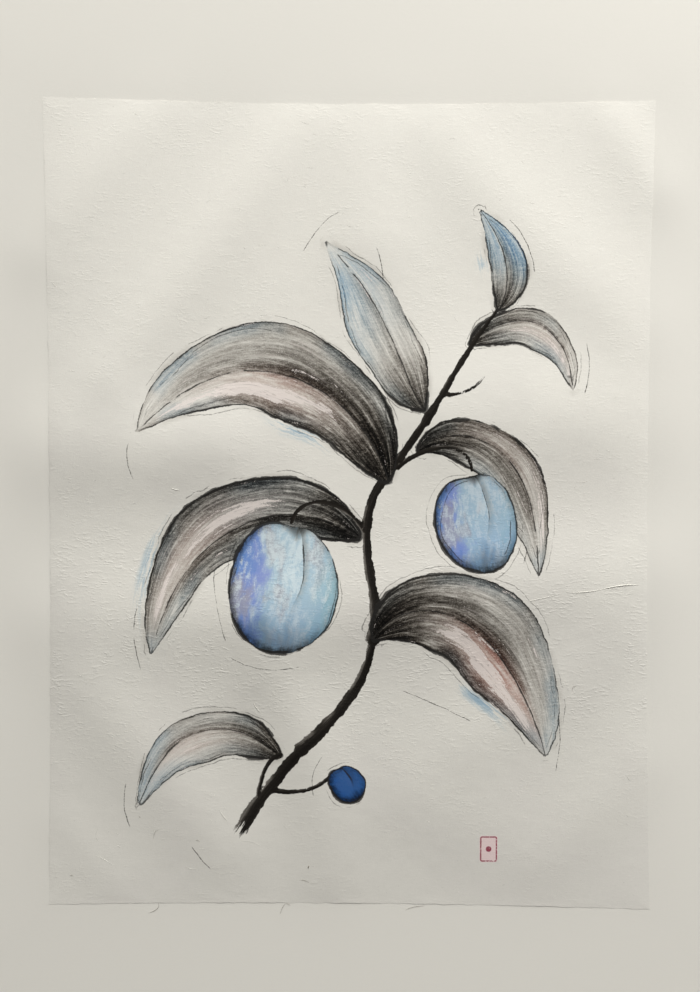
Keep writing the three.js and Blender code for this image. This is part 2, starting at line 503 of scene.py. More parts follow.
def nearest_of(shapes):
    """One set of fields from several: each point takes those of the shape whose edge is nearest."""
    edges = np.stack([shape["place"][:, 2] for shape in shapes])
    choice = np.argmin(edges, axis=0)[None, :, None]
    stacks = {key: np.stack([shape[key] for shape in shapes]) for key in shapes[0]}
    return {key: np.take_along_axis(stack, choice, 0)[0] for key, stack in stacks.items()}


print("helpers for curves and fields ready")

# %% [markdown]
# ## Leaves
#
# Each leaf is a curved spine with a width that swells and closes. A fold runs down it from the stalk, and
# the far side of the fold turns over: it is in shade just under the fold, while the near side carries the
# light. That one line is what makes a flat wash read as a bent leaf.

# %% The leaves' places and pigments

# spine, half width, taper, wave, fold across the leaf at base, middle and tip, side that turns over,
# ink at the base, under the fold, at the edge and overall, rose and blue with their places along it,
# light, and blue dust beside the edge
LEAVES = {
    "low right": dict(
        spine=[(12, -66), (38, -34), (86, -54), (99, -124)], half_width=23, taper=(0.8, 0.9),
        wave=(0.07, 2.2), fold=(0.15, -0.1, -0.1), side=1, ink=(3.2, 2.3, 1.5, 0.42), rose=(1.0, 0.6),
        blue=(0, 0), light=1.0, dust=(0.9, 0.7)),
    "upper left": dict(
        spine=[(20, 12), (-2, 74), (-64, 92), (-106, 36)], half_width=22, taper=(0.75, 0.95),
        wave=(0.06, 2.6), fold=(-0.1, 0.05, 0.2), side=-1, ink=(3.4, 2.2, 1.4, 0.36), rose=(0.4, 0.45),
        blue=(0, 0), light=1.0, dust=(0.8, 0.35)),
    "crown": dict(
        spine=[(74, 98), (84, 112), (80, 130), (64, 148)], half_width=9, taper=(0.9, 1.3), wave=(0.05, 1.4),
        fold=(0.0, 0.1, 0.0), side=-1, ink=(1.8, 1.2, 0.7, 0.25), rose=(0, 0), blue=(0.8, 0.6), light=0.4,
        dust=(0.6, 0.5)),
}
BACK_LEAVES = {
    "behind the plum": dict(
        spine=[(6, -16), (-30, 14), (-88, 2), (-99, -74)], half_width=17, taper=(0.7, 0.9), wave=(0.07, 2.4),
        fold=(0.0, 0.25, 0.1), side=1, ink=(2.6, 2.4, 1.6, 0.75), rose=(0.3, 0.6), blue=(0.3, 0.3), light=0.7,
        dust=(0.7, 0.75)),
    "behind the small plum": dict(
        spine=[(34, 28), (58, 46), (94, 26), (95, -34)], half_width=13, taper=(0.8, 1.0), wave=(0.08, 2.0),
        fold=(0.1, 0.2, 0.0), side=-1, ink=(2.6, 1.8, 1.2, 0.6), rose=(0.2, 0.4), blue=(0, 0), light=0.7,
        dust=(0, 0)),
    "upper middle": dict(
        spine=[(38, 48), (20, 72), (12, 108), (-12, 132)], half_width=15, taper=(0.8, 1.1), wave=(0.08, 2.0),
        fold=(0.0, -0.2, 0.0), side=1, ink=(2.0, 0.8, 0.5, 0.10), rose=(0, 0), blue=(0.3, 0.7), light=0.3,
        dust=(0, 0)),
    "upper right": dict(
        spine=[(60, 81), (82, 98), (108, 92), (112, 58)], half_width=9, taper=(0.8, 1.0), wave=(0.08, 2.4),
        fold=(0.1, 0.3, 0.0), side=1, ink=(2.2, 1.6, 0.9, 0.45), rose=(0.2, 0.6), blue=(0, 0), light=0.6,
        dust=(0, 0)),
    "low left": dict(
        spine=[(-34, -126), (-60, -104), (-92, -112), (-106, -152)], half_width=12, taper=(0.8, 1.1),
        wave=(0.08, 2.2), fold=(0.0, -0.25, 0.1), side=-1, ink=(2.2, 1.3, 0.6, 0.14), rose=(0.15, 0.5),
        blue=(0, 0), light=0.4, dust=(0, 0)),
}


def leaf_fields(x, y, leaf):
    """Half width swells as u^a and closes as (1-u)^b, rippled; across runs from -1 to 1 over it."""
    way, left, past, length = beside(x, y, leaf["spine"])
    share = np.clip(way / length, 0.004, 0.996)
    swell, close = leaf["taper"]
    peak = (swell / (swell + close)) ** swell * (close / (swell + close)) ** close
    ripple, count = leaf["wave"]
    width = leaf["half_width"] * share**swell * (1 - share) ** close / peak
    width = width * (1 + ripple * np.sin(2 * np.pi * count * share + 0.9 * np.sign(left))) + 0.4
    lean = width * (swell / share - close / (1 - share)) / length
    outside = np.abs(left) - width
    past_tips = np.hypot(np.maximum(outside, 0), past)
    edge = np.where(past > 0, past_tips, outside / np.hypot(1, np.clip(lean, -1.5, 1.5)))
    across = np.clip(left / width, -1.8, 1.8)

    start, middle, end = leaf["fold"]
    crest = curve_through([(start, 0), (2 * middle, 0), (end, 0)], share)[0]
    turned = leaf["side"] * (across - crest)
    at_base, under_fold, at_edge, overall = leaf["ink"]
    shade = under_fold * np.exp(-np.maximum(turned, 0) / 0.34) * smooth(turned, -0.05, 0.05)
    near = smooth(-leaf["side"] * across, 0.35, 1.0)
    far = smooth(leaf["side"] * across, 0.7, 1.0)
    ink = overall + at_base * np.exp(-((share / 0.2) ** 1.5)) + shade * smooth(share, 1.0, 0.6)
    ink = ink + at_edge * near * (0.5 + 0.5 * smooth(share, 0.15, 0.5)) + 0.35 * at_edge * far
    ink = ink * (1.3 - 0.95 * share)
    tint = [amount * np.exp(-(((share - spot) / 0.24) ** 2)) for amount, spot in (leaf["rose"], leaf["blue"])]
    rose = tint[0] * smooth(turned, 0.3, -0.1) * smooth(-turned, 1.2, 0.5)
    blue = tint[1] * (0.4 + 0.6 * smooth(turned, 0.0, 0.5))
    band = np.exp(-(((turned + 0.42) / 0.2) ** 2)) * smooth(share, 0.18, 0.4) * smooth(share, 0.98, 0.8)
    amount, spot = leaf["dust"]
    dust = amount * np.exp(-(((share - spot) / 0.13) ** 2)) * smooth(-leaf["side"] * across, 0, 0.5)
    return {
        "place": np.stack([way, across, edge], -1),
        "wash": np.stack([ink, rose, blue], -1),
        "turn": np.stack([turned * width, leaf["light"] * band, dust], -1),
    }


front = nearest_of([leaf_fields(grid_x, grid_y, leaf) for leaf in LEAVES.values()])
back = nearest_of([leaf_fields(grid_x, grid_y, leaf) for leaf in BACK_LEAVES.values()])
print(len(LEAVES) + len(BACK_LEAVES), "leaves mapped on", grid_x.size, "points")

# %% [markdown]
# ## Wood and fruit
#
# The branch, its twigs and the stalks are one brush line each, loaded with ink and left dry where the brush
# lands and lifts. A plum is an oval with a groove; its place is kept in radii, so that the same washes suit
# a big plum and a small one.

# %% The branch, twigs and stalks

# curve, half width at the start and at the end, dryness at the start and at the end
STROKES = [
    ([(-62, -177), (-50, -152), (-38, -138), (-21, -118)], 3.7, 2.5, 1.0, 0.0),
    ([(-25, -122), (-4, -104), (10, -88), (13, -60)], 3.2, 1.9, 0.0, 0.0),
    ([(12, -67), (17, -42), (5, -28), (10, -2)], 3.0, 2.0, 0.0, 0.0),
    ([(9, -9), (10, 12), (28, 24), (40, 47)], 2.6, 1.5, 0.0, 0.0),
    ([(38, 42), (50, 62), (58, 78), (76, 101)], 2.0, 0.8, 0.0, 0.2),
    ([(-46, -149), (-44, -132), (-40, -126), (-34, -124)], 1.1, 0.9, 0.0, 0.0),
    ([(-40, -142), (-24, -146), (-12, -140), (-7, -132)], 1.2, 0.8, 0.0, 0.0),
    ([(9, -14), (-2, 6), (-24, 8), (-29, -8)], 1.3, 0.9, 0.0, 0.0),
    ([(24, 20), (42, 34), (60, 34), (62, 18)], 1.2, 0.8, 0.0, 0.0),
    ([(14, -56), (24, -50), (27, -44), (28, -38)], 1.5, 0.5, 0.0, 0.5),
    ([(46, 56), (58, 56), (64, 60), (68, 66)], 1.1, 0.4, 0.0, 0.5),
]


def stroke_fields(x, y, stroke):
    """A brush line that thins along its way, a little thicker where the brush lands and where it lifts."""
    points, wide, narrow, dry_start, dry_end = stroke
    way, left, past, length = beside(x, y, points)
    share = way / length
    pressed = np.exp(-way / 5) + np.exp((way - length) / 4)
    width = (wide + (narrow - wide) * share) * (1 + 0.22 * pressed)
    edge = np.hypot(np.maximum(np.abs(left) - width, 0), past) + np.minimum(np.abs(left) - width, 0)
    dry = dry_start * smooth(way, 30, 0) + dry_end * smooth(way, length - 12, length)
    return {
        "place": np.stack([way, np.clip(left / width, -2, 2), edge], -1),
        "wash": np.stack([dry, width, 0 * dry], -1),
    }


wood = nearest_of([stroke_fields(grid_x, grid_y, stroke) for stroke in STROKES])
print(len(STROKES), "strokes of wood")

# %% The plums

# middle, radii, tilt in degrees, depth of colour, number for its own noise
PLUMS = [
    ((-33, -40), (28, 33), -8, 0.0, 1.0),
    ((64, -7), (21, 25), 10, 0.15, 4.4),
    ((-1, -139), (9, 10), 30, 1.0, 7.0),
]


def plum_fields(x, y, plum):
    """Oval in its own turned frame, a little heavy below and dented at the stalk, with a bowed groove."""
    (mid_x, mid_y), (wide, tall), tilt, depth, number = plum
    turn = math.radians(tilt)
    off_x, off_y = x - mid_x, y - mid_y
    px = (off_x * math.cos(turn) + off_y * math.sin(turn)) / wide
    py = (off_y * math.cos(turn) - off_x * math.sin(turn)) / tall
    angle = np.arctan2(px, py)
    dented = 1 - 0.10 * np.exp(-((angle / 0.32) ** 2))
    rim = dented + 0.025 * np.cos(2 * angle + 0.6) + 0.02 * np.cos(3 * angle + number)
    edge = (np.hypot(px, py) - rim) * 2 * wide * tall / (wide + tall)
    groove = (px - 0.34 * np.sqrt(np.maximum(0, 1 - np.minimum(1, py**2))) * smooth(py, -1.0, 0.2)) * wide
    return {
        "place": np.stack([px, py, edge], -1),
        "wash": np.stack([groove, depth + 0 * px, number + 0 * px], -1),
    }


fruit = nearest_of([plum_fields(grid_x, grid_y, plum) for plum in PLUMS])
print(len(PLUMS), "plums")

# %% Loose lines of the first sketch

# curves that follow a shape a little way off, and ink flicks
SKETCH = [
    [(-64, -8), (-72, -34), (-62, -66)], [(-58, -76), (-44, -84), (-26, -80)],
    [(90, 6), (93, -10), (88, -26)], [(44, -34), (54, -42), (66, -42)],
    [(-96, 60), (-70, 84), (-36, 84)], [(-110, 30), (-112, 22), (-108, 14)],
    [(104, -96), (108, -112), (104, -130)], [(28, -92), (44, -98), (60, -106)],
    [(92, 118), (90, 132), (80, 142)], [(-22, 128), (-14, 142), (-6, 146)],
    [(-112, -140), (-114, -152), (-110, -160)], [(14, 92), (20, 112), (14, 128)],
    [(118, 84), (122, 70), (118, 58)], [(-14, -126), (-20, -134), (-18, -144)],
    [(-106, -50), (-110, -66), (-104, -82)], [(-70, -182), (-74, -178), (-78, -172)],
]


def sketch_fields(x, y, points):
    """Distance past a thin curve's ends, signed distance to its left, and how far away it is in all."""
    _, left, past, _ = beside(x, y, points, samples=40)
    return {"place": np.stack([past, left, np.hypot(left, past)], -1)}


sketch = nearest_of([sketch_fields(grid_x, grid_y, points) for points in SKETCH])
print(len(SKETCH), "sketch lines")

# %% The fields on the sheet's points
FAR = 60.0
FIELDS = {"back": back, "wood": wood, "front": front, "fruit": fruit, "sketch": sketch}


def store_fields(piece, layers):
    """Puts each layer's vectors on the top face's points; the hidden face gets a place far from any paint."""
    points = len(piece.data.vertices)
    for layer, fields in layers.items():
        for name, vectors in fields.items():
            values = np.full((points, 3), FAR, np.float32)
            values[points // 2:] = vectors
            attribute = piece.data.attributes.new(layer + "_" + name, "FLOAT_VECTOR", "POINT")
            attribute.data.foreach_set("vector", values.ravel())


store_fields(sheet, FIELDS)
covered = {layer: int((fields["place"][:, 2] < 0).sum()) for layer, fields in FIELDS.items()}
print("points under paint:", covered)

# %% [markdown]
# ## Loose fibres
#
# Some fibres of the handmade paper stand out of it: one long, pale thread lies across the right side, and
# short ones sit half sunk on the bare paper, mostly level. A few dark hairs hang over the bottom edge, and
# bits of bark are caught in the pulp. Each is a thin tube that follows a bent line on the sheet and sinks in
# at both ends. Hair curves would do too, but they have no closed surface.

# %% Fibres as tubes
FIBRE_STEPS, FIBRE_SIDES = 14, 5


def fibre_mesh(name, lines, radii, lifts):
    """Tubes along bent lines; lines is fibres by 3 points by 2, radii and lifts in mm for each fibre."""
    way = np.linspace(0, 1, FIBRE_STEPS)[:, None]
    start, pull, end = (lines[:, None, place] for place in range(3))
    path = (1 - way) ** 2 * start + 2 * way * (1 - way) * pull + way**2 * end
    x, y = path[..., 0], path[..., 1]
    arch = np.sqrt(np.sin(np.pi * np.clip(way[:, 0], 0.02, 0.98)))
    on_sheet = np.minimum(HALF_WIDTH - np.abs(x), HALF_HEIGHT - np.abs(y)) > 0
    ground = np.where(on_sheet, sheet_top(x, y), backing_top(x, y))
    height = ground + lifts[:, None] * arch - radii[:, None] * (1 - arch)
    place_x, place_y = drawn_in(x, y)
    centre = np.stack([place_x, place_y - SHEET_DROP, height], -1)
    tangent = np.gradient(centre, axis=1)
    side = np.stack([-tangent[..., 1], tangent[..., 0], 0 * height], -1)
    side /= np.linalg.norm(side, axis=-1, keepdims=True)
    turn = 2 * np.pi * np.arange(FIBRE_SIDES) / FIBRE_SIDES
    thick = (radii[:, None] * (0.35 + 0.65 * arch))[..., None, None]
    ring = side[:, :, None] * np.cos(turn)[:, None] + np.array([0, 0, 1]) * np.sin(turn)[:, None]
    points = (centre[:, :, None] + thick * ring).reshape(-1, 3)
    number = np.arange(len(points)).reshape(len(lines), FIBRE_STEPS, FIBRE_SIDES)
    after = np.roll(number, -1, axis=2)
    walls = np.stack([number[:, :-1], after[:, :-1], after[:, 1:], number[:, 1:]], -1).reshape(-1, 4)
    faces = walls[:, ::-1].tolist() + number[:, 0].tolist() + number[:, -1, ::-1].tolist()
    mesh = bpy.data.meshes.new(name)
    mesh.from_pydata((points * MM).tolist(), [], faces)
    mesh.shade_smooth()
    piece = bpy.data.objects.new(name, mesh)
    bpy.context.scene.collection.objects.link(piece)
    print(name, len(lines), "fibres,", len(faces), "faces")
    return piece


# start, pull and end; radius; lift of the middle over the sheet
PALE_FIBRES = [
    ([(86.5, -46.6), (96, -44.9), (108, -41.4)], 0.16, -0.03),
    ([(106, -41), (117, -42.2), (130, -39)], 0.2, -0.01),
    ([(124, -40.5), (136, -36.6), (148, -37.4)], 0.22, 0.01),
    ([(-89.5, 8.9), (-86.5, 8), (-83.8, 7.6)], 0.18, 0.0),
    ([(-48, -97), (-47, -101), (-43, -104)], 0.18, -0.05),
    ([(-65, -151), (-64, -156), (-59, -159)], 0.18, -0.05),
    ([(-98, -161), (-97, -164), (-97, -166)], 0.15, -0.06),
    ([(-84, -180), (-79, -184), (-74, -182)], 0.14, -0.06),
    ([(112, 14), (118, 12), (121, 15)], 0.14, -0.06),
    ([(-127.9, -175), (-123, -176.5), (-117, -181.4)], 0.14, -0.04),
    ([(-124.5, -159.6), (-128.5, -165.6), (-124.5, -169.5)], 0.12, -0.04),
    ([(-60.6, -169), (-46, -166), (-41.9, -174)], 0.12, -0.05),
]
DARK_FIBRES = [
    ([(-95.5, -199.6), (-93.5, -203), (-100.5, -204.9)], 0.06, 0.08),
    ([(-31.5, -200.3), (-33.5, -202), (-34.5, -205.6)], 0.07, 0.1),
    ([(-31.5, -200.3), (-30.5, -200.6), (-29.2, -201.3)], 0.05, 0.08),
    ([(38, -201), (31, -201.2), (28, -203.4)], 0.05, 0.06),
    ([(-20.7, -182.3), (-20.2, -181.6), (-19.9, -180.6)], 0.24, 0.0),
    ([(112.2, -90.6), (112.4, -87), (114.6, -88.6)], 0.06, 0.06),
    ([(-97.8, -167.6), (-98, -163), (-95.3, -162.6)], 0.06, 0.04),
    ([(-25, -188.3), (-22, -188), (-19.6, -189.8)], 0.07, 0.02),
    ([(-105.2, -155.2), (-105, -156), (-104.4, -156.5)], 0.09, 0.0),
    ([(-139.8, -185.9), (-138.8, -184.6), (-137.9, -186)], 0.06, 0.04),
    ([(-76.5, -168), (-75.6, -167.2), (-74.6, -168.6)], 0.08, 0.02),
]

# %% Short fibres, scattered over the bare paper
THROWN, FROM_RIM, FROM_PAINT = 360, 4, 4
HEADING_SPREAD, BEND_SPREAD = 0.45, 0.5
SHORT_REACH, SHORT_RADIUS, SHORT_LIFT = (0.7, 2.6), (0.05, 0.10), (-0.06, -0.02)

dice = np.random.default_rng(31)
half_sizes = HALF_WIDTH - FROM_RIM, HALF_HEIGHT - FROM_RIM
middles = np.stack([dice.uniform(-half, half, THROWN) for half in half_sizes], -1)
nearest_paint = np.min([fields["place"][:, 2] for fields in FIELDS.values()], axis=0)
nearest_paint = nearest_paint.reshape(len(sheet_y), len(sheet_x))
row, column = np.searchsorted(sheet_y, middles[:, 1]), np.searchsorted(sheet_x, middles[:, 0])
middles = middles[nearest_paint[row, column] > FROM_PAINT]
count = len(middles)
headings = dice.normal(0, HEADING_SPREAD, count)
reach = dice.uniform(*SHORT_REACH, count)
along = np.stack([np.cos(headings), np.sin(headings)], -1) * reach[:, None]
bend = np.stack([-along[:, 1], along[:, 0]], -1) * dice.normal(0, BEND_SPREAD, (count, 1))
scattered = np.stack([middles - along, middles + bend, middles + along], 1)
pale_lines, pale_radii, pale_lifts = (np.array(part, float) for part in zip(*PALE_FIBRES))
fibres = fibre_mesh(
    "raised_fibres", np.concatenate([pale_lines, scattered]),
    np.concatenate([pale_radii, dice.uniform(*SHORT_RADIUS, count)]),
    np.concatenate([pale_lifts, dice.uniform(*SHORT_LIFT, count)]))
dark_fibres = fibre_mesh("dark_fibres", *(np.array(part, float) for part in zip(*DARK_FIBRES)))

# %% [markdown]
# ## Brush and pigment
#
# Three things make a brush mark: pigment that thins the light passing through it, so washes multiply;
# streaks along the stroke, where the hairs part; and lines that swell, thin out and break. Each is a group,
# used by the leaves, the wood and the fruit with their own amounts.

# %% Groups: wash, streaks and line
INK_ABSORBS = (1.0, 1.04, 1.08)
ROSE_ABSORBS = (0.22, 0.62, 0.70)
BLUE_ABSORBS = (1.35, 0.72, 0.22)
INK_COLOUR = (0.018, 0.017, 0.016, 1)


def wash_group():
    """Light left after pigment: exp(-amount times what the pigment absorbs), times the paper's colour."""
    amounts = {"Ink": INK_ABSORBS, "Rose": ROSE_ABSORBS, "Blue": BLUE_ABSORBS}
    tree, given, leave = new_group(
        "wash on paper", {"Paper": "Color", **{name: "Float" for name in amounts}}, {"Color": "Color"})
    channels = []
    for channel in range(3):
        soaked = sum((given[name] * absorbs[channel] for name, absorbs in amounts.items()), 0.0)
        channels.append(calc(tree, "EXPONENT", soaked * -1.0))
    left = vector_of(tree, *channels)
    plug(tree, leave.inputs["Color"], mix(tree, 1.0, given["Paper"], left, blend="MULTIPLY"))
    return tree


def streak_group():
    """Noise drawn out along the stroke: broad bands from the wet brush and fine ones from single hairs."""
    tree, given, leave = new_group(
        "brush streaks",
        {"Way": "Float", "Across": "Float", "Broad": "Float", "Fine": "Float"},
        {"Streak": "Float"})
    bands = vector_of(tree, given["Way"] * 0.022, given["Across"] * given["Broad"])
    hairs = vector_of(tree, given["Way"] * 0.045, given["Across"] * given["Fine"], 4.0)
    broad = noise(tree, bands, 1.0, 2.0)
    fine = noise(tree, hairs, 1.0, 3.0, 0.7)
    plug(tree, leave.inputs["Streak"], (broad - 0.5) * 1.6 + (fine - 0.5) * 1.9)
    return tree


def line_group():
    """1 within half a width of distance 0; noise swells the width, moves the line and breaks it."""
    tree, given, leave = new_group(
        "ink line", {"Place": "Vector", "Distance": "Float", "Half Width": "Float", "Breaks": "Float"},
        {"Line": "Float"})
    swell = noise(tree, given["Place"], 0.11, 1.0)
    wander = (noise(tree, given["Place"], 0.17, 1.0) - 0.5) * 0.9
    broken = ramp_up(tree, noise(tree, given["Place"], 0.065, 2.0) - given["Breaks"], -0.03, 0.03)
    half = given["Half Width"] * ((swell - 0.5) * 3.0 + 1.0)
    rough = (noise(tree, given["Place"], 1.1, 2.0) - 0.5) * 0.5
    line = ramp_up(tree, abs(given["Distance"] + wander) - half + rough, 0.14, -0.12)
    plug(tree, leave.inputs["Line"], line * broken)
    return tree


WASH, STREAKS, LINE = wash_group(), streak_group(), line_group()
print("groups:", WASH.name, "-", STREAKS.name, "-", LINE.name)

# %% What every painted layer is given
# the colour so far, the bare paper, the spot on the sheet, the paper's tooth, and the place in the shape
PAINT_SOCKETS = {"Under": "Color", "Paper": "Color", "Spot": "Vector", "Tooth": "Float", "Place": "Vector"}
WASHED = {**PAINT_SOCKETS, "Wash": "Vector"}


def ink_line(tree, spot, distance, half_width, breaks):
    """The ink line group, drawn where the distance is 0."""
    values = {"Place": spot, "Distance": distance, "Half Width": half_width, "Breaks": breaks}
    return use_group(tree, LINE, values)


print("a painted layer reads:", ", ".join(WASHED))

# %% [markdown]
# ## A painted leaf
#
# In order, as a painter would: a grey wash with streaks along the leaf, darker where it pools at the edge
# and under the fold; a flush of rose or blue; a dry stroke of pinkish white on the light side; and the ink
# line, thick on the dark side, with a thin second try outside it.

# %% Group: leaf
CHALK_WHITE = (0.72, 0.66, 0.63, 1)


def leaf_group():
    """Wash, chalk, dust and ink lines of a leaf over the colour under it."""
    tree, given, leave = new_group("painted leaf", {**WASHED, "Turn": "Vector"}, {"Color": "Color"})
    spot = given["Spot"]
    way, across, edge = parts_of(tree, given["Place"])
    ink, rose, blue = parts_of(tree, given["Wash"])
    fold, light, dust = parts_of(tree, given["Turn"])
    edge = edge + (noise(tree, spot, 0.2, 2.0) - 0.5) * 1.5 + (given["Tooth"] - 0.5) * 0.5
    streak = use_group(tree, STREAKS, {"Way": way, "Across": across, "Broad": 2.4, "Fine": 10.0})
    grain = (given["Tooth"] - 0.5) * -3.4 + 1.0
    cool = ramp_up(tree, noise(tree, spot, 0.024, 2.0), 0.42, 0.60) * ramp_up(tree, edge, -9.0, -2.0) * 0.22
    pooled = ramp_up(tree, edge, -1.3, -0.1) * 0.45 + 1.0
    strength = grain * calc(tree, "MAXIMUM", streak * 1.7 + 0.95, 0.06)
    colour = use_group(tree, WASH, {
        "Paper": given["Paper"], "Ink": ink * strength * pooled, "Rose": rose * strength,
        "Blue": (blue + cool) * strength})
    chalk = ramp_up(tree, light + streak * 1.2 - given["Tooth"] * 1.4, -0.2, 0.0)
    hairs = noise(tree, vector_of(tree, way * 0.05, across * 17.0, 9.0), 1.0, 1.0)
    dragged = ramp_up(tree, hairs - given["Tooth"] * 0.2 + streak * 0.1, 0.50, 0.60)
    dragged = dragged * ramp_up(tree, ink, 2.4, 0.8)
    colour = mix(tree, largest(tree, chalk * 0.85, dragged * 0.24), colour, CHALK_WHITE)
    hair_lines = ramp_up(tree, abs(hairs - 0.42), 0.022, 0.004) * ramp_up(tree, streak, -0.5, 0.1)
    inside = ramp_up(tree, edge, 0.12, -0.12)
    loose = noise(tree, vector_of(tree, way * 0.04, edge * 0.9, 2.0), 1.0, 3.0, 0.65)
    beside_edge = ramp_up(tree, edge, 0.2, 1.4) * ramp_up(tree, edge, 8.0, 3.0)
    dusted = ramp_up(tree, loose + dust * 0.25 - given["Tooth"] * 0.3, 0.42, 0.6) * beside_edge * dust
    smudge = ramp_up(tree, edge, 3.2, 0.0) * ramp_up(tree, noise(tree, spot, 0.05, 2.0), 0.46, 0.62) * 0.22
    around = use_group(tree, WASH, {
        "Paper": given["Under"], "Ink": dusted * 0.12 + smudge, "Rose": 0.0, "Blue": dusted * 0.6})
    colour = mix(tree, inside, around, colour)
    heavy = ramp_up(tree, ink, 0.4, 2.2)
    stray = (noise(tree, spot, 0.03, 1.0) - 0.5) * 9.0
    outline = ink_line(tree, spot, edge + 0.3, heavy * 0.5 + 0.22, 0.36)
    second = ink_line(tree, spot, edge + stray + 2.2, 0.15, 0.46) * 0.75
    ghost = ink_line(tree, spot, edge - stray - 1.6, 0.14, 0.48) * 0.65
    crease = ink_line(tree, spot, fold, 0.26, 0.40) * inside
    drawn = largest(tree, outline, crease, second, ghost, hair_lines * inside * 0.4)
    plug(tree, leave.inputs["Color"], mix(tree, drawn * 0.88, colour, INK_COLOUR))
    return tree


LEAF = leaf_group()
print("group:", LEAF.name)

# %% [markdown]
# ## Painted wood
#
# The branch is nearly pure ink. Where the brush is dry its hairs part, and paper shows between them. The
# streaks could simply thin the ink. Cut off sharply where they fall below the dryness and the paper's tooth,
# it leaves bare paper instead, as a dry brush does.

# %% Group: wood


def wood_group():
    """Thick ink with a lit side, parted by the hairs of the brush where it is dry."""
    tree, given, leave = new_group("painted wood", WASHED, {"Color": "Color"})
    way, across, edge = parts_of(tree, given["Place"])
    dry, width, _ = parts_of(tree, given["Wash"])
    knots = noise(tree, given["Spot"], 0.13, 4.0, 0.6) - 0.5
    edge = edge + knots * (width * 1.3 + 0.4) + (given["Tooth"] - 0.5) * 0.7
    streak = use_group(tree, STREAKS, {"Way": way, "Across": across, "Broad": 1.3, "Fine": 4.2})
    patches = ramp_up(tree, noise(tree, given["Spot"], 0.045, 2.0), 0.44, 0.58)
    lit = ramp_up(tree, across + streak * 1.1, 0.15, 0.75) * (patches * 0.8 + 0.2)
    ink = (streak * 1.6 + 4.0) - lit * 2.6 - (given["Tooth"] - 0.5) * 1.5
    pigments = {"Ink": largest(tree, ink, 0.5), "Rose": 0.05, "Blue": 0.05}
    colour = use_group(tree, WASH, {"Paper": given["Paper"], **pigments})
    cover = ramp_up(tree, streak + 0.8 - dry * 1.4 - given["Tooth"] * (dry + 0.25) * 0.6, -0.08, 0.08)
    inside = ramp_up(tree, edge, 0.14, -0.14) * cover
    plug(tree, leave.inputs["Color"], mix(tree, inside, given["Under"], colour))
    return tree


WOOD = wood_group()
print("group:", WOOD.name)

# %% [markdown]
# ## A painted plum
#
# Opaque chalky blues are laid over each other in upright strokes: sky blue over the whole, lavender and
# cobalt on the left, a grey bloom in the middle, a little green on the right, and white dragged across with
# a dry brush. Thin ink then darkens the rim and the foot. Soft ramps alone would look airbrushed, so noise
# drawn out along the strokes and the paper's tooth roughen every border between two colours.

# %% Group: plum
SKY = (0.36, 0.49, 0.58, 1)
LAVENDER = (0.23, 0.28, 0.56, 1)
COBALT = (0.09, 0.23, 0.52, 1)
BLOOM = (0.33, 0.32, 0.36, 1)
SEA_GREEN = (0.24, 0.42, 0.48, 1)
CHALK_BLUE = (0.60, 0.68, 0.71, 1)
MIDNIGHT = (0.012, 0.075, 0.26, 1)


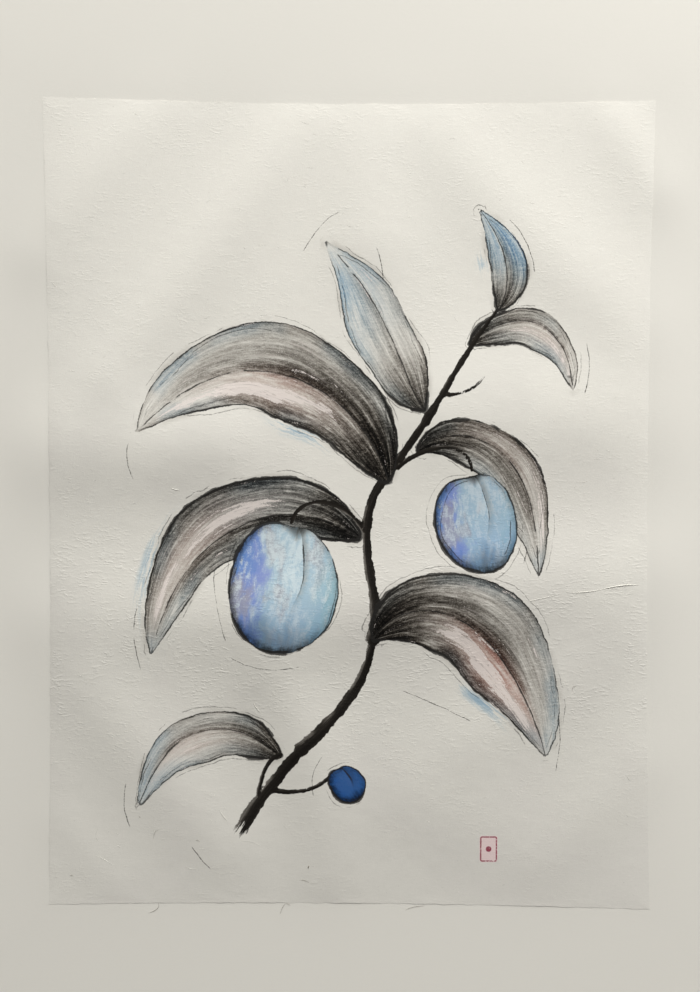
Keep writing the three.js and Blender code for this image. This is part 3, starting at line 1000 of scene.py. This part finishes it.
def plum_group():
    """Chalky blues in upright strokes over each other, with thin ink at the rim, foot and groove."""
    tree, given, leave = new_group("painted plum", WASHED, {"Color": "Color"})
    spot = given["Spot"]
    px, py, edge = parts_of(tree, given["Place"])
    groove, depth, number = parts_of(tree, given["Wash"])
    edge = edge + (noise(tree, spot, 0.16, 2.0) - 0.5) * 1.3 + (given["Tooth"] - 0.5) * 0.5
    warp = noise(tree, spot, 0.05, 1.0)
    chalky = (given["Tooth"] - 0.5) * 0.9
    broad = noise(tree, vector_of(tree, px * 3.0 + warp * 1.4, py * 0.8, number), 1.0, 2.0)
    fine = noise(tree, vector_of(tree, px * 9.0 + warp * 4.0, py * 3.6, number), 1.0, 4.0, 0.72)
    patch = noise(tree, vector_of(tree, px * 1.7, py * 1.5, number + 3.0), 1.0, 3.0, 0.55)
    rough = (fine - 0.5) * 0.8 + chalky
    side = px + (patch - 0.5)
    colour = mix(tree, ramp_up(tree, side + rough * 0.6, -0.2, -0.6), SKY, LAVENDER)
    blue = side + (broad - 0.5) * 0.9 + rough * 0.5
    colour = mix(tree, ramp_up(tree, blue, -0.45, -0.95) * 0.7, colour, COBALT)
    bloom = ramp_up(tree, broad + (patch - 0.5) * 0.9 + rough * 0.3, 0.47, 0.64)
    colour = mix(tree, bloom * 0.75, colour, BLOOM)
    green = side + (broad - 0.5) * 0.9 - py * 0.3 + rough * 0.5
    colour = mix(tree, ramp_up(tree, green, 0.4, 0.9) * 0.6, colour, SEA_GREEN)
    light_side = ramp_up(tree, abs(px - 0.2), 0.7, 0.0) * 0.16 + ramp_up(tree, py, -0.6, 0.5) * 0.06
    white = ramp_up(tree, fine + light_side + (patch - 0.5) * 0.6 - chalky * 0.9, 0.50, 0.80)
    colour = mix(tree, white * 0.75, colour, CHALK_BLUE)
    low_blue = ramp_up(tree, py + (broad - 0.5) * 1.2 + rough * 0.3, 0.1, -1.0)
    colour = mix(tree, low_blue * 0.3, colour, COBALT)
    colour = mix(tree, depth * 0.95, colour, MIDNIGHT)
    rim = ramp_up(tree, edge + rough * 4.0, -5.5, 0.0)
    shade = rim * rim * (ramp_up(tree, px + py * 0.5, 0.6, -0.6) * 1.2 + 0.35)
    foot = ramp_up(tree, py + (broad - 0.5) * 0.8 + rough * 0.25, -0.45, -1.0) * 0.7
    under_groove = ramp_up(tree, groove, 4.0, 0.0) * ramp_up(tree, groove, -0.3, 0.3)
    under_groove = under_groove * ramp_up(tree, py, -0.7, 0.6)
    hollow = ramp_up(tree, abs(px - 0.12) + (0.92 - py) * 1.3 + rough * 0.2, 0.34, 0.05) * 1.3
    ink = (shade + foot + hollow + under_groove * 0.5) * ((fine - 0.5) * 2.6 + 1.0)
    colour = use_group(tree, WASH, {"Paper": colour, "Ink": ink, "Rose": 0.0, "Blue": foot * 0.25})
    inside = ramp_up(tree, edge, 0.12, -0.12)
    colour = mix(tree, inside, given["Under"], colour)
    heavy = ramp_up(tree, px + py * 0.4, 0.5, -0.5)
    stray = (noise(tree, spot, 0.035, 1.0) - 0.5) * 9.0
    outline = ink_line(tree, spot, edge + 0.2, heavy * 0.45 + 0.34, 0.30)
    second = ink_line(tree, spot, edge + stray + 2.0, 0.2, 0.46) * 0.8
    ghost = ink_line(tree, spot, edge - stray - 1.8, 0.15, 0.48) * 0.65
    cleft = ink_line(tree, spot, groove, 0.3, 0.42) * inside * ramp_up(tree, py, -0.35, 0.3)
    drawn = largest(tree, outline, cleft, second, ghost)
    plug(tree, leave.inputs["Color"], mix(tree, drawn * 0.9, colour, INK_COLOUR))
    return tree


PLUM = plum_group()
print("group:", PLUM.name)

# %% [markdown]
# ## Sketch lines
#
# A painter's first, thin lines stay beside the finished shapes. They could be fine threads of geometry, but
# ink has no height, so they are the ink line group alone.

# %% Group: sketch


def sketch_group():
    """A thin, dry ink line that ends where its curve does."""
    tree, given, leave = new_group("sketch lines", PAINT_SOCKETS, {"Color": "Color"})
    past, left, away = parts_of(tree, given["Place"])
    drawn = ink_line(tree, given["Spot"], left, 0.15, 0.36)
    drawn = drawn * ramp_up(tree, past, 1.5, 0.0) * ramp_up(tree, away, 3.0, 2.0)
    dry = ramp_up(tree, given["Tooth"], 0.62, 0.48) * 0.5 + 0.4
    plug(tree, leave.inputs["Color"], mix(tree, drawn * dry, given["Under"], INK_COLOUR))
    return tree


SKETCHED = sketch_group()
print("group:", SKETCHED.name)

# %% [markdown]
# ## The two paper finishes
#
# The handmade sheet is matt and off-white. Painted shade makes it a little greyer towards its foot and lays
# faint cool-grey blotches at random on its lower half. The paint goes on it layer by layer: sketch lines,
# leaves behind the branch, the wood, leaves in front, and the plums.
# A small, plain red frame with a dot in it is printed at the lower right, a little worn. The backing is
# smoother and slightly glossier, as sized paper is, and faintly darker round the sheet. Both
# papers use the one felt group, each with its own amounts.

# %% Colours and the red mark
PAPER = (0.717, 0.701, 0.657)
# painted shade: the foot's tone and the blotches' tone darken the sheet's colour, the blotches a little
# cooler
HEAD_TONE, FOOT_SHADE_TONE, SHADE_BLOTCH_TONE = (1.0, 1.0, 1.0, 1), (0.915, 0.915, 0.915, 1), (0.900, 0.897, 0.902, 1)
FIBRE_DARK, FIBRE_PALE = (0.22, 0.20, 0.16), (0.66, 0.645, 0.60)
# the backing is darker round the sheet: black mixed in by a share that fades as exp(-d / reach)
NEAR_SHEET_DARK, NEAR_SHEET_SHARE, NEAR_SHEET_REACH = (0, 0, 0, 1), 0.045, 33.0
MARK_RED, MARK_PINK = (0.24, 0.016, 0.050, 1), (0.80, 0.54, 0.57, 1)
MARK = {
    "x": 69.5, "y": -174.4, "half_width": 4.2, "half_height": 6.4, "corner": 1.0, "line": 0.3, "dot": 1.4}
print("a red mark of", 2 * MARK["half_width"], "by", 2 * MARK["half_height"], "mm")

# %% Handmade paper with its painting, and the backing paper


def new_paper(name, roughness):
    """An empty matt material: its tree and its Principled shader."""
    material = bpy.data.materials.new(name)
    material.use_nodes = True
    shader = material.node_tree.nodes["Principled BSDF"]
    shader.inputs["Roughness"].default_value = roughness
    shader.inputs["Specular IOR Level"].default_value = 0.1
    return material, material.node_tree, shader


def felted(tree, shader, place, colour, amounts, fleck_share):
    """The felt group in a material: bump on the shader, the paper's colour with its flecks, and its tooth."""
    felt = use_group(tree, FELT, {"Place": place, **amounts})
    outputs = felt.socket.node.outputs
    plug(tree, shader.inputs["Normal"], node(tree, "ShaderNodeBump", {"Height": felt, "Distance": MM}))
    dark, pale = (tuple(part * (1 + way * 0.5) for part in colour) for way in (-1, 1))
    share = Wire(tree, outputs["Fleck"]) * fleck_share + 0.5
    return mix(tree, share, (*dark, 1), (*pale, 1)), Wire(tree, outputs["Tooth"])


def paper_with_painted_shade(tree, place, paper):
    """The sheet's colour with painted shade: darker towards its foot, and in cool blotches on its lower half.
    """
    _, y, _ = parts_of(tree, place)
    # painted shade: greyer towards the foot, and cool-grey blotches at random on the lower half
    toned = mix(tree, ramp_up(tree, y, 180.0, -150.0), HEAD_TONE, FOOT_SHADE_TONE)
    shade_blotches = ramp_up(tree, noise(tree, place, 0.014, 3.0), 0.44, 0.60) * ramp_up(tree, y, 150.0, -60.0)
    return mix(tree, 1.0, paper, mix(tree, shade_blotches, toned, SHADE_BLOTCH_TONE), blend="MULTIPLY")


def painted(tree, place, paper, tooth):
    """The painting's layers, one over another, each fed by the fields stored for it."""
    colour = paper
    layers = {"sketch": SKETCHED, "back": LEAF, "wood": WOOD, "front": LEAF, "fruit": PLUM}
    for layer, group in layers.items():
        values = {"Under": colour, "Paper": paper, "Spot": place, "Tooth": tooth}
        for name in FIELDS[layer]:
            stored = node(tree, "ShaderNodeAttribute", {}, output=1, attribute_name=layer + "_" + name)
            values[name.title()] = stored
        colour = use_group(tree, group, values)
    return colour


def marked(tree, place, colour):
    """The red mark: a frame with round corners round a dot, pale pink inside, printed unevenly."""
    x, y, _ = parts_of(tree, place)
    mark_x, mark_y = x - MARK["x"], y - MARK["y"]

    def length(across, up):
        arrow = vector_of(tree, across, up)
        return node(tree, "ShaderNodeVectorMath", {0: arrow}, output="Value", operation="LENGTH")

    beyond_x = largest(tree, abs(mark_x) - (MARK["half_width"] - MARK["corner"]), 0.0)
    beyond_y = largest(tree, abs(mark_y) - (MARK["half_height"] - MARK["corner"]), 0.0)
    from_frame = length(beyond_x, beyond_y) - MARK["corner"] + MARK["line"]
    from_dot = length(mark_x, mark_y) - MARK["dot"]
    nearest = calc(tree, "MINIMUM", abs(from_frame) - MARK["line"], from_dot)
    worn = ramp_up(tree, noise(tree, place, 0.7, 3.0, 0.7), 0.32, 0.48)
    colour = mix(tree, ramp_up(tree, from_frame, 1.1, 0.0) * 0.5, colour, MARK_PINK)
    return mix(tree, ramp_up(tree, nearest, 0.18, -0.12) * worn * 0.92, colour, MARK_RED)


def handmade_paper():
    """Rough, matt paper with the painting on it, more creased at the sheet's waist than at its foot."""
    material, tree, shader = new_paper("handmade_paper", 0.92)
    place = position_mm(tree)
    _, y, _ = parts_of(tree, place)
    waist = ramp_up(tree, y, -150.0, -95.0) * ramp_up(tree, y, 10.0, -45.0)
    foot = ramp_up(tree, y, -115.0, -180.0)
    amounts = {"Creases": waist * 0.03 - foot * 0.012 + 0.026, "Grain": 0.02, "Fibres": 0.012}
    flecked, tooth = felted(tree, shader, place, PAPER, amounts, 0.12)
    colour = painted(tree, place, paper_with_painted_shade(tree, place, flecked), tooth)
    plug(tree, shader.inputs["Base Color"], marked(tree, place, colour))
    return material


def backing_paper():
    """Smoother paper, darker round the sheet by a share of black that fades as exp(-d / reach)."""
    material, tree, shader = new_paper("backing_paper", 0.75)
    place = position_mm(tree)
    x, y, _ = parts_of(tree, place)
    amounts = {"Creases": 0.007, "Grain": 0.006, "Fibres": 0.0}
    paper, _ = felted(tree, shader, place, PAPER, amounts, 0.03)
    beside_sheet = largest(tree, abs(x) - HALF_WIDTH, abs(y + SHEET_DROP) - HALF_HEIGHT)
    darkened = calc(tree, "EXPONENT", beside_sheet * (-1 / NEAR_SHEET_REACH)) * NEAR_SHEET_SHARE
    plug(tree, shader.inputs["Base Color"], mix(tree, darkened, paper, NEAR_SHEET_DARK))
    return material


def fibre_finish(name, colour):
    """A plain fibre, a little duller in places."""
    material, tree, shader = new_paper(name, 0.85)
    duller = tuple(0.85 * part for part in colour)
    patches = noise(tree, position_mm(tree), 0.1)
    plug(tree, shader.inputs["Base Color"], mix(tree, patches, (*duller, 1), (*colour, 1)))
    return material


# %% Finishes on the pieces
sheet.data.materials.append(handmade_paper())
backing.data.materials.append(backing_paper())
fibres.data.materials.append(fibre_finish("raised_fibre", FIBRE_PALE))
dark_fibres.data.materials.append(fibre_finish("dark_fibre", FIBRE_DARK))
pieces = (
    (sheet, "handmade_paper"), (fibres, "handmade_paper"),
    (dark_fibres, "handmade_paper"), (backing, "backing_paper"))
for piece, slot in pieces:
    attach(piece, "root")
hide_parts("painted_sheet")
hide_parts("backing_sheet")
print("finishes:", [piece.data.materials[0].name for piece, _ in pieces])

# %% [markdown]
# ## Room, light and camera
#
# The papers lie on a plain pale floor that bends up into a wall all round, as in a photographer's cove. The
# photograph's light is a window beyond the picture's top edge, so low that every fold and fibre shows, with
# a pale wall on the right that gives a little light back. Bright enough for the papers, these two would burn
# out the floor on their own side. So light linking keeps them for the papers, and the floor has an even lamp
# of its own overhead. The camera looks almost straight down, from 650 mm above the sheet.

# %% The cove


def plain_paint(name, colour, roughness):
    """Matt paint, with a faint mottle so that it isn't dead flat."""
    material = bpy.data.materials.new(name)
    material.use_nodes = True
    tree = material.node_tree
    shader = tree.nodes["Principled BSDF"]
    mottle = noise(tree, position_mm(tree), 0.02, detail=3)
    pale = tuple(1.03 * part for part in colour)
    plug(tree, shader.inputs["Base Color"], mix(tree, mottle, (*colour, 1), (*pale, 1)))
    shader.inputs["Roughness"].default_value = roughness
    shader.inputs["Specular IOR Level"].default_value = 0.0
    return material


# in metres: radius of the floor's middle face and of its flat part, radius of the bend, height of the wall,
# and the gap below the papers
COVE = {"hub": 0.05, "flat": 4.6, "bend": 1.2, "height": 4.5, "gap": 0.0002}
COVE_PAINT = (0.60, 0.59, 0.57)


def cove_mesh(name, around=96):
    """A round floor, a quarter circle and a wall: one profile of radius and height, turned round."""
    turn = np.linspace(0, np.pi / 2, 12)
    radius = np.concatenate([[COVE["hub"], COVE["flat"] / 2], COVE["flat"] + COVE["bend"] * np.sin(turn)])
    height = np.concatenate([[0, 0], COVE["bend"] * (1 - np.cos(turn))]) - COVE["gap"]
    radius, height = np.append(radius, radius[-1]), np.append(height, COVE["height"])
    angle = np.linspace(0, 2 * np.pi, around, endpoint=False)[:, None]
    points = np.stack([radius * np.cos(angle), radius * np.sin(angle), height + 0 * angle], -1)
    number = np.arange(points[..., 0].size).reshape(around, -1)
    after = np.roll(number, -1, axis=0)
    faces = np.stack([number[:, :-1], number[:, 1:], after[:, 1:], after[:, :-1]], -1).reshape(-1, 4).tolist()
    mesh = bpy.data.meshes.new(name)
    mesh.from_pydata(points.reshape(-1, 3).tolist(), [], [*faces, number[:, 0].tolist()])
    mesh.shade_smooth()
    return mesh


cove = bpy.data.objects.new("cove", cove_mesh("cove"))
bpy.context.scene.collection.objects.link(cove)
cove.data.materials.append(plain_paint("cove_paint", COVE_PAINT, 0.9))
print("cove", 2 * COVE["flat"], "m across its flat floor")

# %% Lights


def area_light(name, azimuth, elevation, distance, size, power, colour, lit):
    """A glowing rectangle that faces the middle; azimuth 0 is beyond the top edge, 90 is on the right.

    It lights only the pieces in lit, by light linking.
    """
    data = bpy.data.lights.new(name, "AREA")
    data.shape = "RECTANGLE"
    data.size, data.size_y = size
    data.energy = power
    data.color = colour
    lamp = bpy.data.objects.new(name, data)
    bpy.context.scene.collection.objects.link(lamp)
    turn, rise = math.radians(azimuth), math.radians(elevation)
    flat = distance * math.cos(rise)
    lamp.location = (flat * math.sin(turn), flat * math.cos(turn), distance * math.sin(rise))
    lamp.rotation_euler = (-lamp.location).to_track_quat("-Z", "Y").to_euler()
    lamp.visible_camera = False
    reached = bpy.data.collections.new(name + "_reaches")
    for piece in lit:
        reached.objects.link(piece)
    lamp.light_linking.receiver_collection = reached


papers = [piece for piece, _ in pieces]
area_light("window", azimuth=13, elevation=20, distance=3.8, size=(3.6, 2.2), power=361,
           colour=(1.0, 0.988, 0.950), lit=papers)
area_light("wall", azimuth=52, elevation=32, distance=0.9, size=(0.6, 0.4), power=1.7,
           colour=(1.0, 0.985, 0.97), lit=papers)
area_light("floor_light", azimuth=0, elevation=90, distance=4.3, size=(7.0, 7.0), power=300,
           colour=(1.0, 0.992, 0.965), lit=[cove])
world = bpy.data.worlds.new("room")
bpy.context.scene.world = world
world.use_nodes = True
background = world.node_tree.nodes["Background"]
background.inputs["Color"].default_value = (1.0, 0.985, 0.985, 1)
background.inputs["Strength"].default_value = 0.045
bpy.context.scene.view_settings.view_transform = "Standard"
print("lights:", sorted(light.name for light in bpy.data.lights))

# %% Camera
# the sensor's width spans the longer side of the picture, which is its height
IMAGE_HEIGHT_PX = 992
FOCAL_PX = 1312.8
SENSOR_MM = 36
EYE_MM = Vector((2.6, 23.7, 650))
AIM_MM = Vector((0.5, 1.4, 0))

lens = bpy.data.cameras.new("camera")
lens.sensor_width = SENSOR_MM
lens.lens = FOCAL_PX / IMAGE_HEIGHT_PX * SENSOR_MM
camera = bpy.data.objects.new("camera", lens)
bpy.context.scene.collection.objects.link(camera)
camera.location = EYE_MM * MM
sight = AIM_MM - EYE_MM
camera.rotation_euler = (math.atan2(sight.y, -sight.z), math.atan2(-sight.x, -sight.z), 0)
bpy.context.scene.camera = camera
print("lens", round(lens.lens, 1), "mm at", round(EYE_MM.z), "mm above the table")
